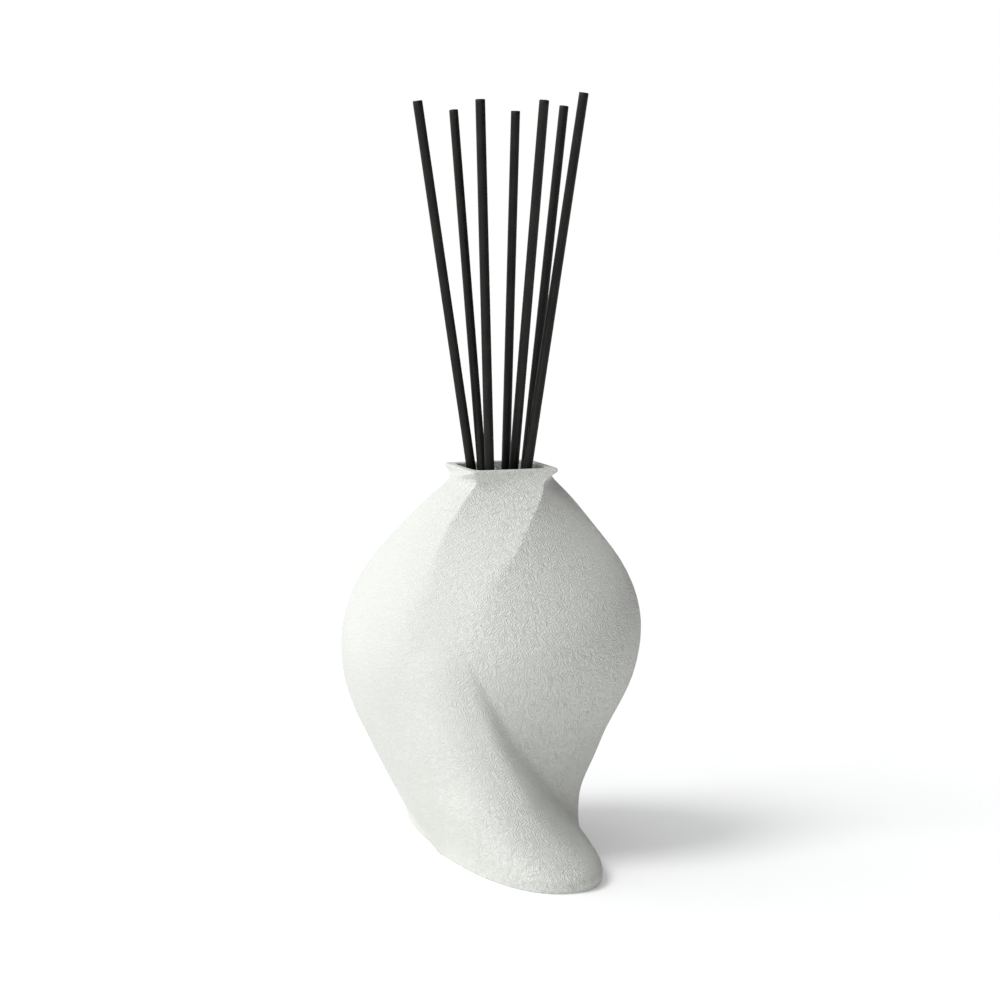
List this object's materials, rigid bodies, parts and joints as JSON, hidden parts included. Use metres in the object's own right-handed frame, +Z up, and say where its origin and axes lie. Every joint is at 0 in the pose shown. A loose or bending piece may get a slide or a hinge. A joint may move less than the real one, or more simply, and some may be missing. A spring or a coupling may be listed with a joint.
{
  "type": "reed diffuser",
  "caption": "Sculptural ceramic vase on a long swept foot, filled with fragrance oil, with thin black reeds fanning out of its small square mouth.",
  "frame": {"origin": "middle of the flat foot, on the surface the vase stands on", "axes": "+Z up; -Y is the front, where one foot sweeps forward and towards +X; +X is the viewer's right from the front"},
  "size_m": [0.095, 0.1204, 0.239],
  "materials": {
    "matt_ceramic": "matt, unglazed outside with a fine leathery orange-peel relief",
    "fragrance_oil": "clear amber liquid",
    "reed_black": "dyed black fibre, satin, with fine lengthwise streaks"
  },
  "bodies": {
    "vase": {"vase_body": "matt_ceramic", "fragrance_oil": "fragrance_oil"},
    "reed_1_body": {"reed_1": "reed_black"},
    "reed_2_body": {"reed_2": "reed_black"},
    "reed_3_body": {"reed_3": "reed_black"},
    "reed_4_body": {"reed_4": "reed_black"},
    "reed_5_body": {"reed_5": "reed_black"},
    "reed_6_body": {"reed_6": "reed_black"},
    "reed_7_body": {"reed_7": "reed_black"}
  },
  "joints": [
    {"name": "reed_1_lift", "type": "slide", "parent": "vase", "child": "reed_1_body", "axis": [-0.1401, -0.0872, 0.9863], "range_m": [0, 0.24]},
    {"name": "reed_2_lift", "type": "slide", "parent": "vase", "child": "reed_2_body", "axis": [-0.0785, 0.097, 0.9922], "range_m": [0, 0.24]},
    {"name": "reed_3_lift", "type": "slide", "parent": "vase", "child": "reed_3_body", "axis": [-0.0246, 0.0433, 0.9988], "range_m": [0, 0.24]},
    {"name": "reed_4_lift", "type": "slide", "parent": "vase", "child": "reed_4_body", "axis": [0.0263, -0.0822, 0.9963], "range_m": [0, 0.24]},
    {"name": "reed_5_lift", "type": "slide", "parent": "vase", "child": "reed_5_body", "axis": [0.0788, -0.1443, 0.9864], "range_m": [0, 0.24]},
    {"name": "reed_6_lift", "type": "slide", "parent": "vase", "child": "reed_6_body", "axis": [0.1063, 0.0683, 0.992], "range_m": [0, 0.24]},
    {"name": "reed_7_lift", "type": "slide", "parent": "vase", "child": "reed_7_body", "axis": [0.1472, 0.0109, 0.989], "range_m": [0, 0.24]}
  ]
}
